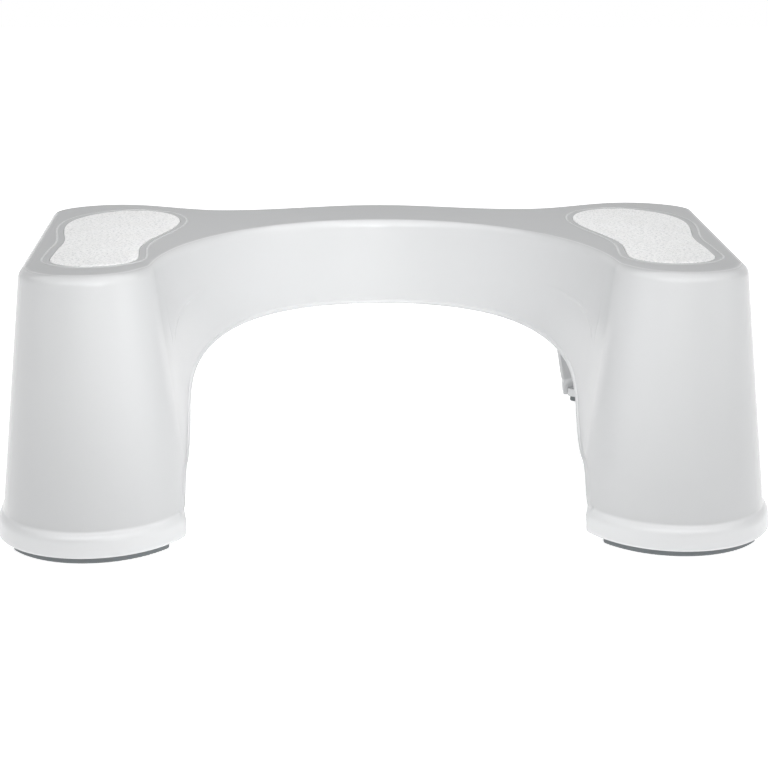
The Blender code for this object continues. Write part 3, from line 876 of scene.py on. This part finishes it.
# %% Grain relief
PAD_FOOT = HEIGHT - RECESS + FIT
PAD_TOP = PAD_FOOT + 0.0012  # without the grains
PAD_RIM = 0.0004  # radius of the pad's upper edge
GRAIN_RISE = 0.0004
GRAIN_MARGIN = 0.0025  # the grains die out this near the rim
GRAIN_COLUMNS = 113
GRAIN_ROWS = 420


def grit_top(loop, side, seed):
    """Grid (row k, share u): x = u times the loop's half width at k, y = the loop's y at k.

    The height is PAD_TOP plus the grain rise times noise, which dies out towards the rim.
    """
    rows = len(loop) // 2 + 1
    half = loop[:rows, 0]
    share = np.linspace(-1, 1, GRAIN_COLUMNS)
    x = half[:, None] * share
    y = np.repeat(loop[:rows, 1:], GRAIN_COLUMNS, axis=1)
    noise = np.random.default_rng(seed).random(x.shape) ** 1.3
    from_rim = (1 - np.abs(share)) * half[:, None]
    from_tip = np.minimum(y - y[0], y[-1] - y)
    z = PAD_TOP + GRAIN_RISE * noise * ease(np.minimum(from_rim, from_tip) / GRAIN_MARGIN)
    place = np.stack((x + side * sole_middle(y), y + PAD_HEEL_Y, z), axis=-1)
    index = np.arange(place[..., 0].size).reshape(x.shape)
    quads = np.stack((index[:-1, :-1], index[:-1, 1:], index[1:, 1:], index[1:, :-1]), axis=-1)
    quads = quads.reshape(-1, 4)
    tip = (quads[:, 0] < GRAIN_COLUMNS) | (quads[:, 3] >= index[-1, 0])
    faces = quads[~tip].tolist()
    ends = quads[tip]
    first = ends[ends[:, 0] < GRAIN_COLUMNS][:, [0, 2, 3]]
    last = ends[ends[:, 0] >= GRAIN_COLUMNS][:, [0, 1, 2]]
    return place.reshape(-1, 3), faces + first.tolist() + last.tolist()


# %% Pads
pads = []
for side, label in ((-1, "left"), (1, "right")):
    rows = [level(sole(0, GRAIN_ROWS), side, PAD_FOOT)]
    for turn in np.linspace(0, np.pi / 2, 5):
        inset, down = (PAD_RIM * (1 - part) for part in (math.cos(turn), math.sin(turn)))
        rows.append(level(sole(-inset, GRAIN_ROWS), side, PAD_TOP - down))
    rows = np.array(rows)
    patches = [flat_patch([rows[0]], False), ring_patch(rows)]
    patches.append(grit_top(sole(-PAD_RIM, GRAIN_ROWS), side, 7 + side))
    pads.append(make_piece(f"{label}_grit_pad", patches, f"{label}_foot_pad"))

# %% [markdown]
# ## Materials
# Three real materials are seen: gloss white polypropylene, a light grit sheet, and grey
# thermoplastic rubber.
# Image textures would need a map for every piece, so each finish is made of noise on the piece's
# own Object coordinates, in real millimetres, which looks the same from every side.
# Colours are written as sRGB hex values and turned to linear by one function.

# %% Helpers for materials
SMOOTH = {"interpolation_type": "SMOOTHSTEP"}
COLOURS = {"data_type": "RGBA"}


def linear(code):
    """sRGB hex to linear: c / 12.92 below 0.04045, else ((c + 0.055) / 1.055)^2.4."""
    value = np.array([int(code[k:k + 2], 16) for k in (1, 3, 5)]) / 255
    low = value / 12.92
    high = ((value + 0.055) / 1.055) ** 2.4
    return (*np.where(value <= 0.04045, low, high), 1.0)


def add_node(tree, kind, settings=None, inputs=None):
    """Add a node, set its properties, and set or link its inputs (a socket links, a value sets)."""
    node = tree.nodes.new(kind)
    for key, value in (settings or {}).items():
        setattr(node, key, value)
    for key, value in (inputs or {}).items():
        if isinstance(value, bpy.types.NodeSocket):
            tree.links.new(value, node.inputs[key])
        else:
            node.inputs[key].default_value = value
    return node


def new_material(name):
    """A material with only a Principled shader and its output, and its Object coordinates."""
    material = bpy.data.materials.new(name)
    material.use_nodes = True
    tree = material.node_tree
    shader = tree.nodes["Principled BSDF"]
    coordinates = add_node(tree, "ShaderNodeTexCoord").outputs["Object"]
    return material, tree, shader, coordinates


# %% [markdown]
# ### Polypropylene
# Injection-moulded white polypropylene from a polished tool: a bright surface with soft-edged
# reflections, a faint waviness where the melt cooled, and a few hair-fine rub marks.
# Light rubs and dust low on the hem make the white a little greyer there, while the hem itself is
# painted whiter than the walls: painted light, for the light that its roll catches from above and from the
# floor.
# The deck comes from a finely textured part of the tool, so it is duller, but the beads on it are
# smooth; its colour is also painted darker than the walls, a painted shade for the dimmer light that it gets
# from above.
# The colours are mixed first, then the gloss and the relief.

# %% Polypropylene, its colour
plastic, tree, shader, coordinates = new_material("injection_moulded_polypropylene")
clouds = add_node(tree, "ShaderNodeTexNoise", None, {
    "Vector": coordinates, "Scale": 14, "Detail": 3, "Roughness": 0.5})  # about 70 mm across
height = add_node(tree, "ShaderNodeSeparateXYZ", None, {"Vector": coordinates}).outputs["Z"]
near_floor = add_node(tree, "ShaderNodeMapRange", SMOOTH, {
    "Value": height, "From Min": 0.004, "From Max": 0.030, "To Min": 0.35, "To Max": 0.0})
dust = add_node(tree, "ShaderNodeMath", {"operation": "MULTIPLY"}, {
    0: near_floor.outputs[0], 1: clouds.outputs["Fac"]})
tint = add_node(tree, "ShaderNodeMix", COLOURS, {
    "Factor": clouds.outputs["Fac"], "A": linear("#c5c6c7"), "B": linear("#c8c9ca")})
dusty = add_node(tree, "ShaderNodeMix", COLOURS, {
    "Factor": dust.outputs[0], "A": tint.outputs["Result"], "B": linear("#c1c1be")})
# painted light: the hem is painted whiter than the walls, for the light that its roll catches
on_hem = add_node(tree, "ShaderNodeMapRange", SMOOTH, {
    "Value": height, "From Min": 0.0198, "From Max": 0.0222, "To Min": 1.0, "To Max": 0.0})
hem_painted_light = add_node(tree, "ShaderNodeMix", COLOURS, {
    "Factor": on_hem.outputs[0], "A": dusty.outputs["Result"], "B": linear("#dcddde")})
# painted shade: the deck's colour is painted darker than the walls; the same mask also makes the deck duller
on_deck = add_node(tree, "ShaderNodeMapRange", SMOOTH, {
    "Value": height, "From Min": 0.1792, "From Max": 0.17999, "To Min": 0.0, "To Max": 1.0})
off_bead = add_node(tree, "ShaderNodeMapRange", SMOOTH, {
    "Value": height, "From Min": 0.1801, "From Max": 0.1808, "To Min": 1.0, "To Max": 0.0})
deck_texture_and_painted_shade = add_node(tree, "ShaderNodeMath", {"operation": "MULTIPLY"}, {
    0: on_deck.outputs[0], 1: off_bead.outputs[0]})
deck_painted_shade = add_node(tree, "ShaderNodeMix", COLOURS, {
    "Factor": deck_texture_and_painted_shade.outputs[0], "A": hem_painted_light.outputs["Result"], "B": linear("#b2b3b4")})
tree.links.new(deck_painted_shade.outputs["Result"], shader.inputs["Base Color"])

# %% Polypropylene, its gloss and relief
stretched = add_node(tree, "ShaderNodeMapping", None, {
    "Vector": coordinates, "Scale": (1, 1, 0.12), "Rotation": (0.3, 0.2, 0.5)})
rubs = add_node(tree, "ShaderNodeTexNoise", None, {
    "Vector": stretched.outputs[0], "Scale": 420, "Detail": 4, "Roughness": 0.6})  # 2 mm by 20 mm
sheen_spread = add_node(tree, "ShaderNodeMapRange", None, {
    "Value": rubs.outputs["Fac"], "From Min": 0.3, "From Max": 0.75, "To Min": 0.23, "To Max": 0.26})
spread = add_node(tree, "ShaderNodeMath", {"operation": "MULTIPLY_ADD"}, {
    0: deck_texture_and_painted_shade.outputs[0], 1: 0.42, 2: sheen_spread.outputs[0]})
ripples = add_node(tree, "ShaderNodeTexNoise", None, {
    "Vector": coordinates, "Scale": 55, "Detail": 2, "Roughness": 0.4})  # 18 mm across
fine = add_node(tree, "ShaderNodeBump", None, {
    "Strength": 0.02, "Distance": 0.00002, "Height": rubs.outputs["Fac"]})
wavy = add_node(tree, "ShaderNodeBump", None, {
    "Strength": 0.10, "Distance": 0.0002, "Height": ripples.outputs["Fac"], "Normal": fine.outputs[0]})
tree.links.new(spread.outputs[0], shader.inputs["Roughness"])
tree.links.new(wavy.outputs[0], shader.inputs["Normal"])
shader.inputs["IOR"].default_value = 1.49
shader.inputs["Specular IOR Level"].default_value = 0.38
print(plastic.name, "has", len(tree.nodes), "nodes")

# %% [markdown]
# ### Grit sheet
# A light polyester sheet with mineral grains about 0.4 mm across in clear resin: no gloss from
# afar, grains that catch the light one by one, and tiny shadows between them.
# The grains are drawn 1.1 mm across and their speckle 2.2 mm, because finer ones would not show
# in the render.  Larger patches, 30 mm across, are a little greyer with wear.

# %% Grit sheet
grit, tree, shader, coordinates = new_material("mineral_grit_sheet")
grains = add_node(tree, "ShaderNodeTexVoronoi", None, {
    "Vector": coordinates, "Scale": 1 / 0.0011, "Randomness": 1})
speckle = add_node(tree, "ShaderNodeTexNoise", None, {
    "Vector": coordinates, "Scale": 1 / 0.0022, "Detail": 3, "Roughness": 0.7})
patchy = add_node(tree, "ShaderNodeTexNoise", None, {
    "Vector": coordinates, "Scale": 1 / 0.030, "Detail": 2, "Roughness": 0.5})
spots = add_node(tree, "ShaderNodeMapRange", None, {
    "Value": speckle.outputs["Fac"], "From Min": 0.34, "From Max": 0.52, "To Min": 0, "To Max": 1})
ground = add_node(tree, "ShaderNodeMix", COLOURS, {
    "Factor": spots.outputs[0], "A": linear("#d4d6d7"), "B": linear("#fafafa")})
worn = add_node(tree, "ShaderNodeMapRange", None, {
    "Value": patchy.outputs["Fac"], "From Min": 0.45, "From Max": 0.75, "To Min": 0, "To Max": 0.25})
aged = add_node(tree, "ShaderNodeMix", COLOURS, {
    "Factor": worn.outputs[0], "A": ground.outputs["Result"], "B": linear("#e4e4e1")})
grain_relief = add_node(tree, "ShaderNodeBump", {"invert": True}, {
    "Strength": 0.4, "Distance": 0.0003, "Height": grains.outputs["Distance"]})
sparkle = add_node(tree, "ShaderNodeMapRange", None, {
    "Value": speckle.outputs["Fac"], "From Min": 0.4, "From Max": 0.7, "To Min": 0.85, "To Max": 0.55})
tree.links.new(aged.outputs["Result"], shader.inputs["Base Color"])
tree.links.new(sparkle.outputs[0], shader.inputs["Roughness"])
tree.links.new(grain_relief.outputs[0], shader.inputs["Normal"])
shader.inputs["IOR"].default_value = 1.5
print(grit.name, "has", len(tree.nodes), "nodes")

# %% [markdown]
# ### Thermoplastic rubber
# Grey TPE strips, moulded in a lightly textured tool: dull, with a soft bloom of paler dust in
# patches of 12 mm, a grain of 0.8 mm, and scuffed where they slide on the floor.

# %% Thermoplastic rubber
rubber, tree, shader, coordinates = new_material("moulded_thermoplastic_rubber")
bloom = add_node(tree, "ShaderNodeTexNoise", None, {
    "Vector": coordinates, "Scale": 1 / 0.012, "Detail": 4, "Roughness": 0.6})
grain = add_node(tree, "ShaderNodeTexNoise", None, {
    "Vector": coordinates, "Scale": 1 / 0.0008, "Detail": 3, "Roughness": 0.6})
height = add_node(tree, "ShaderNodeSeparateXYZ", None, {"Vector": coordinates}).outputs["Z"]
scuffed = add_node(tree, "ShaderNodeMapRange", SMOOTH, {
    "Value": height, "From Min": 0, "From Max": 0.0015, "To Min": 0.5, "To Max": 0})
mottled = add_node(tree, "ShaderNodeMix", COLOURS, {
    "Factor": bloom.outputs["Fac"], "A": linear("#63686a"), "B": linear("#74797b")})
paler = add_node(tree, "ShaderNodeMix", COLOURS, {
    "Factor": scuffed.outputs[0], "A": mottled.outputs["Result"], "B": linear("#84888a")})
dull = add_node(tree, "ShaderNodeMapRange", None, {
    "Value": bloom.outputs["Fac"], "From Min": 0.3, "From Max": 0.7, "To Min": 0.62, "To Max": 0.8})
texture = add_node(tree, "ShaderNodeBump", None, {
    "Strength": 0.3, "Distance": 0.00012, "Height": grain.outputs["Fac"]})
tree.links.new(paler.outputs["Result"], shader.inputs["Base Color"])
tree.links.new(dull.outputs[0], shader.inputs["Roughness"])
tree.links.new(texture.outputs[0], shader.inputs["Normal"])
shader.inputs["IOR"].default_value = 1.52
print(rubber.name, "has", len(tree.nodes), "nodes")

# %% Give each piece its finish
for material, pieces in ((plastic, (shell, ribs, socket_piece)), (grit, pads), (rubber, strips)):
    for piece in pieces:
        piece.data.materials.append(material)
    print(f"{material.name} on {len(pieces)} pieces")

# %% [markdown]
# ## Floor and light
# The stool stands on a white sweep that is lit from below too, as on a product table, so the hem
# and the walls read brighter than the deck, which only faces the dimmer room.
# Three soft boxes give the little direction that the photograph shows, and three snooted spots
# lighten the bay.
# The overhead canopy and the front strip are seen in the gloss only: they draw the bright lines
# along the fillets and the hem.
# The floor would need far more light to turn pure white, so for rays that come straight from the
# camera, and for those that a gloss surface sends on, it adds a little light of its own.

# %% Rays that show the floor and the world
def straight_rays(tree):
    """1 for a ray from the camera or one that gloss or glass sends on, else 0: a clamped sum."""
    rays = add_node(tree, "ShaderNodeLightPath").outputs
    seen = add_node(tree, "ShaderNodeMath", {"operation": "ADD"}, {
        0: rays["Is Camera Ray"], 1: rays["Is Glossy Ray"]})
    seen = add_node(tree, "ShaderNodeMath", {"operation": "ADD", "use_clamp": True}, {
        0: seen.outputs[0], 1: rays["Is Transmission Ray"]})
    return seen.outputs[0]


# %% Floor
FLOOR_SIZE = 30
FLOOR_GLOW = 0.44  # the light from below
FLOOR_LIFT = 0.20  # added for the rays that show the floor
floor_mesh = bpy.data.meshes.new("floor")
corner = np.array(((-1, -1, 0), (1, -1, 0), (1, 1, 0), (-1, 1, 0))) * FLOOR_SIZE
floor_mesh.from_pydata(corner.tolist(), [], [(0, 1, 2, 3)])
floor = bpy.data.objects.new("floor", floor_mesh)
bpy.context.scene.collection.objects.link(floor)
floor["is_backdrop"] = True
paper = bpy.data.materials.new("white_paper_sweep")
paper.use_nodes = True
tree = paper.node_tree
shader = tree.nodes["Principled BSDF"]
glow = add_node(tree, "ShaderNodeMath", {"operation": "MULTIPLY_ADD"}, {
    0: straight_rays(tree), 1: FLOOR_LIFT, 2: FLOOR_GLOW})
tree.links.new(glow.outputs[0], shader.inputs["Emission Strength"])
shader.inputs["Emission Color"].default_value = (1, 1, 1, 1)
shader.inputs["Base Color"].default_value = linear("#f4f4f4")
shader.inputs["Roughness"].default_value = 0.9
floor.data.materials.append(paper)
print(f"floor {2 * FLOOR_SIZE} m square")

# %% World
ROOM_LIGHT = 0.58  # for the rays that light the stool; the others see a full white
world = bpy.data.worlds.new("studio")
bpy.context.scene.world = world
world.use_nodes = True
tree = world.node_tree
background = tree.nodes["Background"]
brightness = add_node(tree, "ShaderNodeMapRange", None, {
    "Value": straight_rays(tree), "To Min": ROOM_LIGHT, "To Max": 1.0})
tree.links.new(brightness.outputs[0], background.inputs["Strength"])
background.inputs["Color"].default_value = (1, 1, 1, 1)
print(f"the room gives {ROOM_LIGHT:.0%} of full white")


# %% Soft boxes
def hang_lamp(kind, name, place, target, power):
    """A lamp of a kind that faces a target, as its object."""
    lamp = bpy.data.lights.new(name, kind)
    lamp.energy = power
    item = bpy.data.objects.new(name, lamp)
    item.location = place
    item.rotation_euler = (Vector(target) - Vector(place)).to_track_quat("-Z", "Y").to_euler()
    bpy.context.scene.collection.objects.link(item)
    return item


# name, place, target, width and height, watts, and whether it shows in the gloss only
BOXES = (
    ("front box", (0, -3.2, 1.1), (0, 0, 0.1), (3.0, 1.8), 1.5, False),
    ("right box", (2.8, -1.4, 1.0), (0, 0, 0.1), (2.0, 1.8), 17, False),
    ("left box", (-2.8, -1.4, 1.0), (0, 0, 0.1), (2.0, 1.8), 8, False),
    ("overhead canopy", (0, -0.8, 2.3), (0, -0.8, 0.15), (7.0, 4.0), 260, True),
    ("front strip", (0, -2.2, 2.0), (0, -0.1, 0.15), (5.0, 1.2), 65, True),
)
for name, place, target, size, power, gloss_only in BOXES:
    item = hang_lamp("AREA", name, place, target, power)
    item.data.shape = "RECTANGLE"
    item.data.size, item.data.size_y = size
    item.visible_diffuse = not gloss_only
print(len(BOXES), "soft boxes")

# %% Snooted spots for the bay
# name, place, target, angle and watts
SPOTS = (
    ("middle spot", (0.1, -2.5, 0.9), (0, 0.05, 0.12), 12, 85),
    ("spot on the bay's left", (0.9, -2.3, 0.9), (-0.12, -0.02, 0.11), 9, 110),
    ("spot on the bay's right", (-0.9, -2.3, 0.9), (0.12, -0.02, 0.11), 9, 75),
)
for name, place, target, angle, power in SPOTS:
    lamp = hang_lamp("SPOT", name, place, target, power).data
    lamp.spot_size = math.radians(angle)
    lamp.spot_blend = 1
    lamp.shadow_soft_size = 0.08  # a small source, so that the cone stays in the bay
print(len(SPOTS), "snooted spots")

# %% [markdown]
# ## Camera
# The photograph was taken from the toilet's side, 1.05 m in front of the stool's middle and 34 cm
# up, looking down by 14.6 degrees and 1.9 degrees to the right.
# These values come from a fit of a pinhole camera to the deck, the pads and the floor strips.

# %% Camera and colour
LENS = 67.08  # mm, on a sensor 36 mm wide
CAMERA_PLACE = (-0.0306, -1.0456, 0.3365)
LOOKS_DOWN = 14.586  # degrees
LOOKS_RIGHT = 1.854
camera = bpy.data.cameras.new("photo camera")
camera.sensor_width = 36
camera.sensor_fit = "HORIZONTAL"
camera.lens = LENS
camera_item = bpy.data.objects.new("photo camera", camera)
camera_item.location = CAMERA_PLACE
camera_item.rotation_euler = (math.radians(90 - LOOKS_DOWN), 0, math.radians(-LOOKS_RIGHT))
bpy.context.scene.collection.objects.link(camera_item)
bpy.context.scene.camera = camera_item
bpy.context.scene.view_settings.view_transform = "Standard"
print(f"camera {math.dist(CAMERA_PLACE, (0, 0, 0)):.2f} m from the stool's middle")

# %% Compare the sizes
bpy.context.view_layer.update()
made_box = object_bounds()
boxes = {"cad": [list(map(float, c)) for c in cad_box], "visual": [list(map(float, c)) for c in made_box]}
for name, (low, high) in boxes.items():
    print(name, " x ".join(f"{(b - a) * 1000:.1f}" for a, b in zip(low, high)), "mm")
